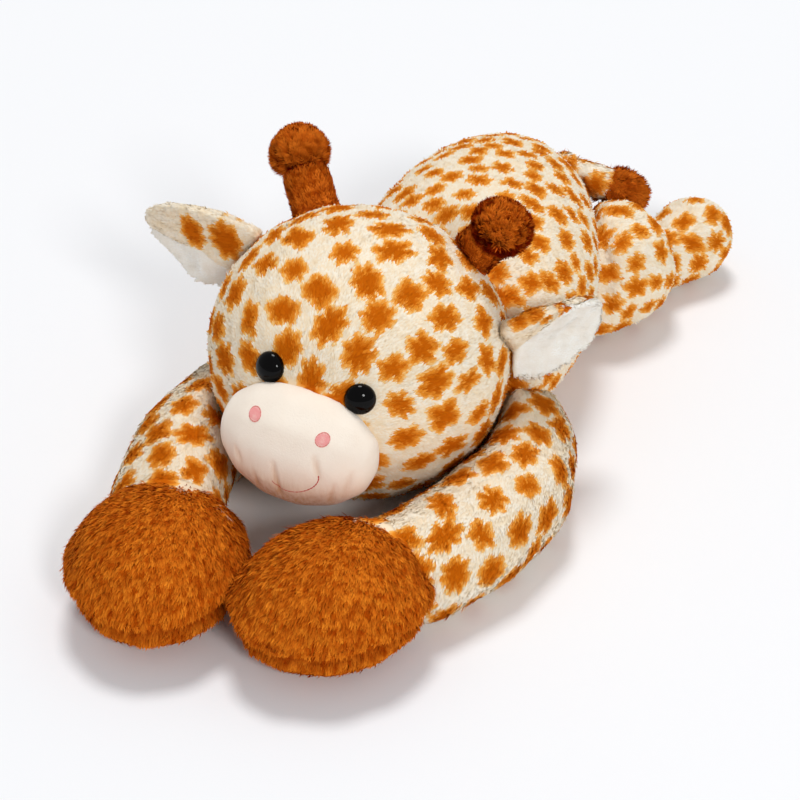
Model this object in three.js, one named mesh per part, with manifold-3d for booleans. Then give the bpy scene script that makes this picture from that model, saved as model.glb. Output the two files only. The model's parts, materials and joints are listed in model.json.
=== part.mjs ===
// A plush giraffe that lies on its belly: a stuffed torso, head and four legs, a muzzle with embroidered
// nostrils and mouth, safety eyes with lock washers inside, two-layer ears, horns with knobs, a tufted tail.
// Each cloth cover is an open shell, and its stuffing is a piece of its own inside it.
// Millimetres. +Z is up, the nose points along -Y, and +X is the giraffe's own left.
// The origin is on the floor, in the middle of the flat that the belly rests on.
import * as THREE from "three";
import { mergeVertices } from "three/addons/utils/BufferGeometryUtils.js";
import Module from "manifold-3d";

const wasm = await Module();
wasm.setup();

// Cloth and sewing, alike all over the toy
const skinThickness = 3.5; // the backing and the dense foot of the pile
const seamGap = 0.4; // between two pieces that are sewn or laid against each other
const socketGap = 0.8; // between two pieces that swing past each other
const floorFlat = 0.5; // how deep each form is pressed flat where it lies on the floor
const undersideShare = 0.7; // 1 is an ellipse below the middle, and less is fuller
const overrun = 60; // how far a cutting tool runs past what it cuts

// Torso, an egg that lies a little askew behind the head
const torsoLength = 304;
const torsoWidth = 180; // this and the height are those of the egg before its taper
const torsoHeight = 154;
const torsoTurnAngle = 10; // degrees, the rump towards the right
const torsoTaperShare = 0.14; // how much thinner the rump is, and thicker the neck
const torsoFullnessShare = 0.8; // 1 is an ellipse along its length, and less is fuller towards the ends

// Head, a ball that is a little wider than it is deep
const headWidth = 204;
const headDepth = 199;
const headTiltAngle = 9; // degrees, the left side lower
const headTurnAngle = 5; // degrees, the nose towards the left
const headLiftAngle = 12; // degrees, the nose raised
const headForward = 165; // from the origin to the head's middle
const headAside = 16; // how far to the right its middle lies
const neckRadius = 45; // the open end of the head's cover

// Muzzle
const muzzleWidth = 106;
const muzzleHeight = 81;
const muzzleDepth = 62;
const muzzleForward = 95; // from the head's middle to the muzzle's
const muzzleDrop = 27;
const nostrilRadius = 4.3;
const nostrilSpread = 46; // between the two nostrils' middles
const nostrilRise = 19.5; // above the muzzle's middle
const nostrilAside = 2.7; // how far to the right of it the two lie
const mouthWidth = 31;
const mouthSag = 9.5;
const mouthDrop = 10.5; // below the muzzle's middle
const mouthAside = 9.5; // to the left of it
const mouthTiltAngle = 26; // degrees, the left corner higher
const threadWidth = 1.8;
const threadHeight = 1;

// Eyes
const eyeRadius = 10;
const eyeRise = 7.5; // height of the dome above its back
const eyeSeat = 1.2; // how deep the dome's back is pressed in
const eyeSideAngle = 18.5; // degrees to either side of the nose
const eyeUpAngle = 8; // degrees above it
const postRadius = 3;
const postLength = 13;
const washerRadius = 9;
const washerThickness = 1.6;

// Ears
const earLength = 80;
const earWidth = 64;
const earLayer = 4.5; // thickness of one layer at its middle
const earCup = 8; // how far the lower rim curls forwards
const earFold = 12; // how far the upper rim folds forwards
const earLeanAngle = 16; // degrees that the leaf leans forwards over its hollow side
const earSideAngle = 98; // degrees from the nose, where the ear is sewn on
const earUpAngle = 22; // degrees above the head's middle
const leftEarSweepAngle = 56; // degrees that the ear lies back from straight out
const rightEarSweepAngle = 14;
const leftEarRiseAngle = 10; // degrees that it rises from level
const rightEarRiseAngle = -13;
const earLap = 20; // how far the leaf starts inside the head before it is cut off
const earFullnessShare = 0.7; // 1 is an ellipse, and less is fuller towards the root and the tip
const earEdgeShare = 0.5; // the same for its thickness

// Horns
const hornStem = 20; // from the head to the foot of the knob
const hornRadius = 14;
const hornRootRadius = 16;
const hornRootDepth = 8; // how deep the middle of the round root lies
const hornKnobRadius = 20.5;
const hornKnobHeight = 36;
const hornSideAngle = 39; // degrees to either side of the top
const hornBackAngle = 23; // degrees behind the top
const leftHornLeanAngle = 19; // degrees that it leans inwards from straight out
const leftHornNodAngle = 32; // degrees that it leans forwards
const hornLap = 14; // how far the stem reaches into the knob

// Front legs, and the hooves on them
const shoulderSide = 50;
const leftShoulderForward = 90;
const rightShoulderForward = 71;
const frontRootRadius = 22;
const frontWidth = 78;
const frontHeight = 76;
const frontCuffWidth = 86; // at the hoof
const frontCuffHeight = 64;
const frontCuffShare = 0.5; // where along the leg its height begins to change
const frontOpening = 15; // radius of the sleeve's open end inside the torso
const hoofForward = 327; // from the origin to the left hoof's middle, along the toy
const rightHoofLead = 16; // how far the right hoof lies in front of the left one
const hoofWidth = 113;
const hoofLength = 134;
const hoofHeight = 77;
const hoofApart = 1; // between the two hooves
const hoofsAside = 16; // how far to the right the two hooves meet
const hoofSeam = 24; // height of the seam between the hoof's top and its sole
const hoofSeamInset = 3; // how deep the cover is drawn in along that seam
const hoofSeamReach = 9; // how far above and below the seam it is drawn in

// Hind legs
const hipSide = 52;
const hipBack = 64;
const hindRootRadius = 43;
const hindWidth = 98;
const hindAnkleWidth = 48;
const hindFootWidth = 67;
const hindOpening = 28;
const hindReach = 150; // from the hip to the middle of the foot's round end

// Tail
const tailRootRadius = 15;
const tailRadius = 13.5;
const tailLength = 45; // from the middle of its root to the middle of the tuft
const tailSide = 19; // to the left of the middle
const tailInset = 28; // from the rump's end to the middle of its root
const tailUp = 95; // height of its root above the floor
const tailAsideAngle = 77; // degrees that it points to the left of straight back
const tailDroopAngle = 13; // degrees below level
const tuftRadius = 16.5;
const tuftLength = 36;

// How far each sewn seam lets its piece swing, in degrees
const headNod = [0, 8];
const frontSwing = [0, 12];
const hindSwing = [0, 12];
const tailLift = [0, 15];
const earFlap = [-12, 12];
const hornBend = [-8, 8];

// Where the middle line of each leg runs, as shares of its reach: outwards, then along the toy
const leftFrontShares = [[0.17, -0.2], [0.23, -0.4], [0.18, -0.64]];
const rightFrontShares = [[0.11, -0.17], [0.2, -0.38], [0.22, -0.64]];
const leftHindShares = [[0.1, 0.12], [0.19, 0.34], [0.28, 0.55], [0.37, 0.74]];
const rightHindShares = [[0.03, 0.22], [0.05, 0.44], [0.08, 0.62], [0.1, 0.8]];
const hindSwellShares = [0.38, 0.68, 0.88]; // where the thigh ends, the ankle is, and the foot is widest

const plush = { spotted: 0xedc791, brown: 0xb4580f, lining: 0xe9e4dc, velour: 0xf7e6d6 };
const trim = { eye: 0x0c0a09, washer: 0xd8d8d4, nostril: 0xf2a0a0, thread: 0xc84a4a, fibre: 0xf4f4f0 };
const roughnessShares = { cloth: 0.95, eye: 0.08, washer: 0.5, thread: 0.7 };

const degree = Math.PI / 180;
const quarter = Math.PI / 2;
const rightAngle = 90;
const { lerp, clamp, smoothstep } = THREE.MathUtils;
const vec = (x, y, z) => new THREE.Vector3(x, y, z);
const power = (value, exponent) => Math.sign(value) * Math.abs(value) ** exponent;

// The geometry as a solid, with its faces turned outwards.
function toSolid(geometry) {
  const bare = geometry.clone();
  for (const name of Object.keys(bare.attributes)) {
    if (name !== "position") bare.deleteAttribute(name);
  }
  const merged = mergeVertices(bare, 1e-4);
  const vertProperties = new Float32Array(merged.attributes.position.array);
  const triVerts = new Uint32Array(merged.index.array);
  const solid = new wasm.Manifold(new wasm.Mesh({ numProp: 3, vertProperties, triVerts }));
  if (solid.volume() > 0) return solid;
  for (let i = 0; i < triVerts.length; i += 3) {
    [triVerts[i + 1], triVerts[i + 2]] = [triVerts[i + 2], triVerts[i + 1]];
  }
  return new wasm.Manifold(new wasm.Mesh({ numProp: 3, vertProperties, triVerts }));
}

function toGeometry(solid) {
  const mesh = solid.getMesh();
  const geometry = new THREE.BufferGeometry();
  geometry.setAttribute("position", new THREE.BufferAttribute(mesh.vertProperties, 3));
  geometry.setIndex(new THREE.BufferAttribute(mesh.triVerts, 1));
  return geometry;
}

// A closed skin over a grid: u runs from one pole to the other, and v goes once around.
function closedForm(rings, sides, pointAt) {
  const points = [];
  for (let i = 0; i <= rings; i += 1) {
    const around = i === 0 || i === rings ? 1 : sides;
    for (let j = 0; j < around; j += 1) points.push(pointAt(i / rings, (j / sides) * 2 * Math.PI));
  }
  const last = points.length - 1;
  const at = (i, j) => {
    if (i === 0) return 0;
    return i === rings ? last : 1 + (i - 1) * sides + (j % sides);
  };
  const faces = [];
  for (let i = 0; i < rings; i += 1) {
    for (let j = 0; j < sides; j += 1) {
      const [a, b, c, d] = [at(i, j), at(i, j + 1), at(i + 1, j + 1), at(i + 1, j)];
      if (a !== b) faces.push(a, b, c);
      if (c !== d) faces.push(a, c, d);
    }
  }
  return toSolid(new THREE.BufferGeometry().setFromPoints(points).setIndex(faces));
}

const ballSides = 10;

function ball(centre, radius) {
  const geometry = new THREE.SphereGeometry(radius, ballSides, 6).rotateX(quarter);
  return toSolid(geometry.translate(centre.x, centre.y, centre.z));
}

// A turned solid whose axis runs from a point along a direction. The profile lists radius and height.
function turned(profile, start, along) {
  const points = profile.map(([radius, height]) => new THREE.Vector2(radius, height));
  const geometry = new THREE.LatheGeometry(points, 10);
  geometry.applyQuaternion(new THREE.Quaternion().setFromUnitVectors(vec(0, 1, 0), along));
  return toSolid(geometry.translate(start.x, start.y, start.z));
}

const rod = (start, along, radius, length) =>
  turned([[0, 0], [radius, 0], [radius, length], [0, length]], start, along);

// A half ellipse as a profile, from its rim up to its pole.
function domeProfile(radius, rise, foot) {
  const steps = 4;
  const profile = [];
  for (let i = 0; i <= steps; i += 1) {
    const turn = (i / steps) * quarter;
    profile.push([i === steps ? 0 : radius * Math.cos(turn), foot + rise * Math.sin(turn)]);
  }
  return profile;
}

// A block that fills everything between two heights.
function slab(low, high) {
  const reach = 2 * (torsoLength + hoofForward + hoofLength + hindReach);
  return toSolid(new THREE.BoxGeometry(reach, reach, high - low).translate(0, 0, (low + high) / 2));
}

const above = (solid, height) => solid.subtract(slab(-torsoHeight, height));

// The largest body of a solid, so that no sliver left by a cut is kept.
const mainBody = (solid) =>
  solid.decompose().reduce((best, body) => (body.volume() > best.volume() ? body : best));

function turnAbout(pivot, axis, angle) {
  const turn = new THREE.Matrix4().makeTranslation(pivot);
  turn.multiply(new THREE.Matrix4().makeRotationAxis(axis, angle * degree));
  return turn.multiply(new THREE.Matrix4().makeTranslation(pivot.clone().negate()));
}

// What a solid covers, at rest and at each angle of a range, as seen from a piece that swings about a pivot.
function swept(solid, { pivot, axis, range }) {
  let covered = solid;
  for (const stop of range.filter((angle) => angle !== 0)) {
    covered = covered.add(solid.transform(turnAbout(pivot, axis, -stop).elements));
  }
  return covered;
}

// The room that a round form needs to swing: the form half way through its swing, grown by as much as
// its corners then stand over the flat facets of that room.
function roomToSwing(form, { pivot, axis, range }, radius, facets, gap) {
  const [low, high] = range;
  const half = Math.PI / facets;
  const stand = radius * (1 - Math.cos(half) / Math.cos(half - ((high - low) / 2) * degree));
  return form(gap + stand).transform(turnAbout(pivot, axis, (low + high) / 2).elements);
}

// The section of a form that lies on the floor: an ellipse above, and fuller below.
function section(v) {
  const fullness = Math.sin(v) < 0 ? undersideShare : 1;
  return { across: power(Math.cos(v), fullness), rise: power(Math.sin(v), fullness) };
}

// The three stages of a stuffed form. form(grow) is the form, larger by grow all round, before the floor
// cuts it.
const outer = (form) => above(form(0), 0);
const inner = (form) => above(form(-skinThickness), skinThickness);
const core = (form) => above(form(-skinThickness - seamGap), skinThickness + seamGap);

// The covers of two forms that run into each other, parted by a seam where the first leaves the second.
function sewnPair(narrow, wide) {
  const shell = outer(narrow).add(outer(wide)).subtract(inner(narrow).add(inner(wide)));
  return {
    narrow: shell.subtract(wide(seamGap)),
    wide: shell.intersect(wide(0)),
    fill: core(narrow).add(core(wide)),
  };
}

// Torso
const torsoMiddle = vec(0, 0, torsoHeight / 2 - floorFlat);
const zAxis = vec(0, 0, 1);

function torsoForm(grow) {
  return closedForm(10, 16, (u, v) => {
    const turn = u * Math.PI;
    const girth = power(Math.sin(turn), torsoFullnessShare);
    const taper = 1 + torsoTaperShare * Math.cos(turn);
    const { across, rise } = section(v);
    const wide = (torsoWidth / 2 + grow) * girth * taper * across;
    const high = (torsoHeight / 2 + grow) * girth * (rise > 0 ? taper : 1) * rise;
    const point = vec(wide, -(torsoLength / 2 + grow) * Math.cos(turn), high);
    return point.applyAxisAngle(zAxis, torsoTurnAngle * degree).add(torsoMiddle);
  });
}

// Head: round about its own left-to-right axis, so that it nods in the torso's hollow
const headMiddle = vec(-headAside, -headForward, headDepth / 2 - floorFlat);
const headFrame = new THREE.Matrix4()
  .makeRotationZ(headTurnAngle * degree)
  .multiply(new THREE.Matrix4().makeRotationX(-headLiftAngle * degree))
  .multiply(new THREE.Matrix4().makeRotationY(headTiltAngle * degree));
const headWay = (x, y, z) => vec(x, y, z).transformDirection(headFrame);
const inHead = (x, y, z) => vec(x, y, z).applyMatrix4(headFrame).add(headMiddle);

const headRings = 9;
const headSides = 18;

function headForm(grow) {
  return closedForm(headRings, headSides, (u, v) => {
    const across = -(headWidth / 2 + grow) * Math.cos(u * Math.PI);
    const radius = (headDepth / 2 + grow) * Math.sin(u * Math.PI);
    return inHead(across, radius * Math.cos(v), radius * Math.sin(v));
  });
}

const headJoint = { pivot: headMiddle, axis: headWay(-1, 0, 0), range: headNod };
const roomForHead = (gap) => roomToSwing(headForm, headJoint, headDepth / 2, headSides, gap);

// The point of the head's surface in a direction of its own frame, and the way out there.
function onHead(way) {
  const [a, b] = [headWidth / 2, headDepth / 2];
  const point = way.clone().divideScalar(Math.hypot(way.x / a, way.y / b, way.z / b));
  const out = headWay(way.x / a ** 2, way.y / b ** 2, way.z / b ** 2);
  return { point: inHead(point.x, point.y, point.z), out };
}

// A direction from the head's middle, in degrees to the side of the nose and above it.
const fromNose = (side, rise) =>
  vec(Math.sin(side * degree), -Math.cos(side * degree), Math.tan(rise * degree)).normalize();

// Muzzle: a flattened ball low on the front of the head
const inMuzzle = (x, y, z) => inHead(x, y - muzzleForward, z - muzzleDrop);

function muzzleForm(grow) {
  return closedForm(7, 12, (u, v) => {
    const across = -(muzzleWidth / 2 + grow) * Math.cos(u * Math.PI);
    const girth = Math.sin(u * Math.PI);
    const forward = (muzzleDepth / 2 + grow) * girth * Math.cos(v);
    return inMuzzle(across, -forward, (muzzleHeight / 2 + grow) * girth * Math.sin(v));
  });
}

// The layer that embroidery thread takes up on the muzzle
const threadLayer = muzzleForm(seamGap + threadHeight).subtract(muzzleForm(seamGap));

function nostril(side) {
  const start = inMuzzle((side * nostrilSpread) / 2 - nostrilAside, 0, nostrilRise);
  return mainBody(threadLayer.intersect(rod(start, headWay(0, -1, 0), nostrilRadius, muzzleDepth)));
}

// The mouth is a band along the lower half of an ellipse, tilted about that ellipse's middle.
function mouth() {
  const steps = 10;
  const middle = new THREE.Vector2(mouthAside, -mouthDrop);
  const edge = (grow) =>
    Array.from({ length: steps + 1 }, (_, i) => {
      const turn = Math.PI * (1 + i / steps);
      const half = new THREE.Vector2(mouthWidth / 2 + grow, mouthSag + grow);
      const point = new THREE.Vector2(half.x * Math.cos(turn), half.y * Math.sin(turn)).add(middle);
      return point.rotateAround(middle, mouthTiltAngle * degree);
    });
  const outline = new THREE.Shape([...edge(threadWidth / 2), ...edge(-threadWidth / 2).reverse()]);
  const band = new THREE.ExtrudeGeometry(outline, { depth: muzzleDepth, bevelEnabled: false });
  const start = inMuzzle(0, 0, 0);
  band.rotateX(quarter).applyMatrix4(headFrame.clone()).translate(start.x, start.y, start.z);
  return mainBody(threadLayer.intersect(toSolid(band)));
}

// Eyes: a dome on a post, the room that they take up in the head, and the washer that locks the post
function onEye(side, profile) {
  const { point, out } = onHead(fromNose(side * eyeSideAngle, eyeUpAngle));
  return turned(profile, point.addScaledVector(out, -eyeSeat), out);
}

function eye(side) {
  const post = [[0, -postLength], [postRadius, -postLength], [postRadius, 0]];
  return onEye(side, [...post, ...domeProfile(eyeRadius, eyeRise, 0)]);
}

function eyeRoom(side) {
  const [seat, hole] = [eyeRadius + seamGap, postRadius + seamGap];
  const end = -postLength - seamGap;
  const well = [[hole, end], [hole, -seamGap], [seat, -seamGap], [seat, overrun]];
  return onEye(side, [[0, end], ...well, [0, overrun]]);
}

// The facets of the head lie up to this much under its true round form.
const headDip = (headWidth / 2) * (2 - Math.cos(Math.PI / headSides) - Math.cos(quarter / headRings));
const washerTop = eyeSeat - skinThickness - seamGap - headDip;
const washerBottom = washerTop - washerThickness;

function washer(side) {
  const bore = postRadius + seamGap;
  const inside = [[bore, washerTop], [bore, washerBottom]];
  return onEye(side, [...inside, [washerRadius, washerBottom], [washerRadius, washerTop], inside[0]]);
}

function washerRoom(side) {
  const [rim, bottom] = [washerRadius + seamGap, washerBottom - seamGap];
  return onEye(side, [[0, bottom], [rim, bottom], [rim, 0], [0, 0]]);
}

// Ears: a cupped leaf of two layers, with the lining on the hollow side
function earFrame(side) {
  const { point } = onHead(fromNose(side * earSideAngle, earUpAngle));
  const sweep = side > 0 ? leftEarSweepAngle : rightEarSweepAngle;
  const rise = side > 0 ? leftEarRiseAngle : rightEarRiseAngle;
  const along = fromNose(side * (rightAngle + sweep), rise).transformDirection(headFrame);
  const across = headWay(0, -Math.sin(earLeanAngle * degree), Math.cos(earLeanAngle * degree));
  across.addScaledVector(along, -across.dot(along)).normalize();
  const hollow = new THREE.Vector3().crossVectors(along, across).multiplyScalar(side);
  return { point, along, across, hollow };
}

const earJoint = (side) => {
  const { point, across } = earFrame(side);
  return { pivot: point, axis: across.multiplyScalar(side), range: earFlap };
};

// One layer of an ear: the leaf between two distances from its middle surface.
function earLayerForm(side, near, far) {
  const { point, along, across, hollow } = earFrame(side);
  return closedForm(6, 8, (u, v) => {
    const turn = u * Math.PI;
    const length = lerp(-earLap, earLength, (1 - Math.cos(turn)) / 2);
    const wide = (earWidth / 2) * Math.sin(turn) ** earFullnessShare * Math.cos(v);
    const cup = (wide > 0 ? earFold : earCup) * (wide / (earWidth / 2)) ** 2;
    const thick = lerp(near, far, (1 + Math.sin(v) * Math.sin(turn) ** earEdgeShare) / 2);
    return point
      .clone()
      .addScaledVector(along, length)
      .addScaledVector(across, wide)
      .addScaledVector(hollow, cup + thick);
  });
}

// Horns: a stem on a round root, and a knob on top of it
function hornPlace(side) {
  const way = vec(side * Math.tan(hornSideAngle * degree), Math.tan(hornBackAngle * degree), 1);
  const { point, out } = onHead(way.normalize());
  const root = point.clone().addScaledVector(out, -hornRootDepth);
  if (side > 0) out.applyAxisAngle(headWay(0, -1, 0), leftHornLeanAngle * degree);
  if (side > 0) out.applyAxisAngle(headWay(1, 0, 0), leftHornNodAngle * degree);
  return { out, root };
}

const hornJoint = (side) => ({ pivot: hornPlace(side).root, axis: headWay(1, 0, 0), range: hornBend });

function hornStemForm(side, grow) {
  const { root, out } = hornPlace(side);
  const radius = hornRadius + grow;
  const dome = domeProfile(radius, radius, hornRootDepth + hornStem + hornLap - hornRadius);
  return turned([[0, 0], [radius, 0], ...dome], root, out);
}

function hornKnob(side) {
  const { root, out } = hornPlace(side);
  const half = hornKnobHeight / 2;
  const dome = domeProfile(hornKnobRadius, half, 0);
  const below = dome.slice(1).map(([radius, rise]) => [radius, -rise]);
  const middle = root.clone().addScaledVector(out, hornRootDepth + hornStem + half);
  const knob = turned([...below.reverse(), ...dome], middle, out);
  return mainBody(knob.subtract(hornStemForm(side, seamGap)));
}

const frontRings = 11;
const hindRings = 14;

// A limb: an oval section swept along a level line, with round ends about the line's two ends.
// sizeAt(share) is half its width and half its height.
function limbForm(line, sizeAt, rings, grow) {
  const length = line.getLength();
  const [first] = sizeAt(0);
  const [last] = sizeAt(1);
  return closedForm(rings, 8, (u, v) => {
    const along = lerp(-first - grow, length + last + grow, (1 - Math.cos(u * Math.PI)) / 2);
    const share = clamp(along / length, 0, 1);
    const [half, low] = sizeAt(share);
    const fromEnd = Math.min(along + first, length + last - along) + grow;
    const round = Math.sqrt(1 - (1 - clamp(fromEnd / (half + grow), 0, 1)) ** 2);
    const tangent = line.getTangentAt(share);
    const { across, rise } = section(v);
    return line
      .getPointAt(share)
      .addScaledVector(tangent, along - share * length)
      .addScaledVector(vec(-tangent.y, tangent.x, 0), (half + grow) * round * across)
      .add(vec(0, 0, low - floorFlat + (low + grow) * round * rise));
  });
}

const curve = (points) => new THREE.CatmullRomCurve3(points, false, "centripetal");

// A leg that starts in a round root and makes room for what lies beside it, which is beside(grow).
const rooted = (pivot, radius, form, beside) => (grow) =>
  form(grow).subtract(beside(socketGap - grow)).add(ball(pivot, radius + grow));

// Front legs
function frontJoint(side) {
  const forward = side > 0 ? leftShoulderForward : rightShoulderForward;
  const pivot = vec(side * shoulderSide, -forward, frontRootRadius - floorFlat);
  return { pivot, axis: vec(0, 0, side), range: frontSwing };
}

function frontLine(side) {
  const { pivot } = frontJoint(side);
  const start = vec(pivot.x, pivot.y, 0);
  const end = vec((side * (hoofWidth + hoofApart)) / 2 - hoofsAside, -hoofForward, 0);
  if (side < 0) end.y -= rightHoofLead;
  const reach = start.y - end.y;
  const bends = (side > 0 ? leftFrontShares : rightFrontShares).map(([out, along]) =>
    start.clone().add(vec(side * out * reach, along * reach, 0)),
  );
  return curve([start, ...bends, end]);
}

const sleeveSize = (share) => [
  lerp(frontWidth, frontCuffWidth, share) / 2,
  lerp(frontHeight, frontCuffHeight, smoothstep(share, frontCuffShare, 1)) / 2,
];

// The hoof stands around the end of the line, drawn in along its seam.
function hoofForm(line, grow) {
  const middle = line.getPointAt(1);
  const forward = line.getTangentAt(1);
  const aside = vec(-forward.y, forward.x, 0);
  return closedForm(8, 12, (u, v) => {
    const turn = (u - 0.5) * Math.PI;
    const { across, rise } = section(turn);
    const z = hoofHeight / 2 - floorFlat + (hoofHeight / 2 + grow) * rise;
    const inset = hoofSeamInset * Math.max(0, 1 - Math.abs(z - hoofSeam) / hoofSeamReach) * across;
    return middle
      .clone()
      .addScaledVector(aside, ((hoofWidth / 2 + grow) * across - inset) * Math.cos(v))
      .addScaledVector(forward, ((hoofLength / 2 + grow) * across - inset) * Math.sin(v))
      .setZ(z);
  });
}

function frontLeg(side) {
  const joint = frontJoint(side);
  const line = frontLine(side);
  const beside = (grow) => swept(torsoForm(grow), joint).add(roomForHead(grow)).add(muzzleForm(grow));
  const arm = (grow) => limbForm(line, sleeveSize, frontRings, grow);
  const sleeve = rooted(joint.pivot, frontRootRadius, arm, beside);
  const hoof = (grow) => hoofForm(line, grow).subtract(beside(seamGap - grow));
  const { narrow, wide, fill } = sewnPair(sleeve, hoof);
  const inwards = vec(0, joint.pivot.y, joint.pivot.z).sub(joint.pivot).normalize();
  const seam = slab(hoofSeam - seamGap / 2, hoofSeam + seamGap / 2);
  return {
    sleeve: mainBody(narrow.subtract(rod(joint.pivot, inwards, frontOpening, overrun))),
    hoofTop: mainBody(wide.subtract(seam).subtract(slab(-overrun, hoofSeam))),
    hoofSole: mainBody(wide.subtract(seam).subtract(slab(hoofSeam, overrun + hoofHeight))),
    stuffing: mainBody(fill),
  };
}

// Hind legs
function hindJoint(side) {
  const pivot = vec(side * hipSide, hipBack, hindRootRadius - floorFlat);
  return { pivot, axis: vec(0, 0, -side), range: hindSwing };
}

function hindLine(side) {
  const { pivot } = hindJoint(side);
  const start = vec(pivot.x, pivot.y, 0);
  const bends = (side > 0 ? leftHindShares : rightHindShares).map(([out, along]) =>
    start.clone().add(vec(side * out * hindReach, along * hindReach, 0)),
  );
  return curve([start, ...bends]);
}

function hindSize(share) {
  const [thighEnd, ankle, foot] = hindSwellShares;
  const narrowed = lerp(hindWidth, hindAnkleWidth, smoothstep(share, thighEnd, ankle));
  const half = lerp(narrowed, hindFootWidth, smoothstep(share, ankle, foot)) / 2;
  return [half, half];
}

function hindLeg(side) {
  const joint = hindJoint(side);
  const line = hindLine(side);
  const beside = (grow) => swept(torsoForm(grow), joint);
  const leg = (grow) => limbForm(line, hindSize, hindRings, grow);
  const form = rooted(joint.pivot, hindRootRadius, leg, beside);
  const opening = rod(joint.pivot, vec(-side, 0, 0), hindOpening, overrun);
  return {
    skin: mainBody(outer(form).subtract(inner(form)).subtract(opening)),
    stuffing: mainBody(core(form)),
  };
}

// Tail, and the tuft at its end
const tailWay = vec(
  Math.sin(tailAsideAngle * degree) * Math.cos(tailDroopAngle * degree),
  Math.cos(tailAsideAngle * degree) * Math.cos(tailDroopAngle * degree),
  -Math.sin(tailDroopAngle * degree),
);
const tailJoint = {
  pivot: vec(tailSide, torsoLength / 2 - tailInset, tailUp),
  axis: vec(Math.cos(tailAsideAngle * degree), -Math.sin(tailAsideAngle * degree), 0),
  range: tailLift,
};

function tailStripForm(grow) {
  const radius = tailRadius + grow;
  const dome = domeProfile(radius, radius, tailLength - tailRadius);
  return turned([[0, 0], [radius, 0], ...dome], tailJoint.pivot, tailWay);
}

function tuftForm() {
  const dome = domeProfile(tuftRadius, tuftLength / 2, 0);
  const below = dome.slice(1).map(([radius, rise]) => [radius, -rise]);
  const middle = tailJoint.pivot.clone().addScaledVector(tailWay, tailLength);
  return turned([...below.reverse(), ...dome], middle, tailWay);
}

// The pieces
const sides = { left: 1, right: -1 };
const whole = new THREE.Group();

function addPiece(name, solid, color, roughness = roughnessShares.cloth) {
  const material = new THREE.MeshStandardMaterial({ color, roughness, metalness: 0 });
  const mesh = new THREE.Mesh(toGeometry(solid), material);
  mesh.name = name;
  whole.add(mesh);
}

function addTorso() {
  const socket = (joint, radius) =>
    roomToSwing((grow) => ball(joint.pivot, radius + grow), joint, radius, ballSides, socketGap);
  let hollows = roomForHead(socketGap).add(socket(tailJoint, tailRootRadius));
  for (const side of Object.values(sides)) {
    hollows = hollows.add(socket(frontJoint(side), frontRootRadius));
    hollows = hollows.add(socket(hindJoint(side), hindRootRadius));
  }
  const skin = outer(torsoForm).subtract(inner(torsoForm)).subtract(hollows);
  addPiece("torso_skin", mainBody(skin), plush.spotted);
  addPiece("torso_stuffing", mainBody(core(torsoForm).subtract(hollows)), trim.fibre);
}

function addHead() {
  let { narrow, wide, fill } = sewnPair(muzzleForm, headForm);
  wide = wide.subtract(rod(headMiddle, headWay(0, 1, 0), neckRadius, headDepth));
  for (const side of Object.values(sides)) {
    const socket = ball(hornPlace(side).root, hornRootRadius + socketGap);
    wide = wide.subtract(socket).subtract(eyeRoom(side));
    fill = fill.subtract(socket).subtract(eyeRoom(side)).subtract(washerRoom(side));
    narrow = narrow.subtract(eyeRoom(side));
  }
  addPiece("head_skin", mainBody(wide), plush.spotted);
  addPiece("head_stuffing", mainBody(fill), trim.fibre);
  addPiece("muzzle_skin", mainBody(narrow), plush.velour);
  addPiece("mouth_stitching", mouth(), trim.thread);
}

function addFace(name, side) {
  addPiece(`${name}_eye`, eye(side), trim.eye, roughnessShares.eye);
  addPiece(`${name}_eye_washer`, washer(side), trim.washer, roughnessShares.washer);
  addPiece(`${name}_nostril`, nostril(side), trim.nostril, roughnessShares.thread);
}

function addEar(name, side) {
  const torso = swept(torsoForm(socketGap), headJoint);
  const beside = swept(headForm(socketGap).add(torso), earJoint(side));
  const half = seamGap / 2;
  const back = earLayerForm(side, -earLayer - half, -half).subtract(beside);
  const lining = earLayerForm(side, half, earLayer + half).subtract(beside);
  addPiece(`${name}_ear_back`, mainBody(back), plush.spotted);
  addPiece(`${name}_ear_lining`, mainBody(lining), plush.lining);
}

function addHorn(name, side) {
  const head = swept(headForm(socketGap), hornJoint(side));
  const stem = hornStemForm(side, 0).subtract(head).add(ball(hornPlace(side).root, hornRootRadius));
  addPiece(`${name}_horn_stem`, mainBody(stem), plush.brown);
  addPiece(`${name}_horn_knob`, hornKnob(side), plush.brown);
}

function addLegs(name, side) {
  const { sleeve, hoofTop, hoofSole, stuffing } = frontLeg(side);
  addPiece(`${name}_front_sleeve`, sleeve, plush.spotted);
  addPiece(`${name}_front_hoof_top`, hoofTop, plush.brown);
  addPiece(`${name}_front_hoof_sole`, hoofSole, plush.brown);
  addPiece(`${name}_front_stuffing`, stuffing, trim.fibre);
  const hind = hindLeg(side);
  addPiece(`${name}_hind_skin`, hind.skin, plush.spotted);
  addPiece(`${name}_hind_stuffing`, hind.stuffing, trim.fibre);
}

function addTail() {
  const hip = hindJoint(sides.left);
  const thigh = ball(hip.pivot, hindRootRadius + socketGap);
  const leg = limbForm(hindLine(sides.left), hindSize, hindRings, socketGap).add(thigh);
  const steps = 4;
  const stops = Array.from({ length: steps }, (_, i) => (hindSwing[1] * (i + 1)) / steps);
  const back = { ...hip, axis: hip.axis.clone().negate(), range: stops };
  const beside = swept(torsoForm(socketGap), tailJoint).add(swept(leg, back));
  const strip = tailStripForm(0).subtract(beside).add(ball(tailJoint.pivot, tailRootRadius));
  addPiece("tail_strip", mainBody(strip), plush.spotted);
  addPiece("tail_tuft", mainBody(tuftForm().subtract(tailStripForm(seamGap)).subtract(beside)), plush.brown);
}

addTorso();
addHead();
for (const [name, side] of Object.entries(sides)) {
  addFace(name, side);
  addEar(name, side);
  addHorn(name, side);
  addLegs(name, side);
}
addTail();

export default whole;
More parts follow.
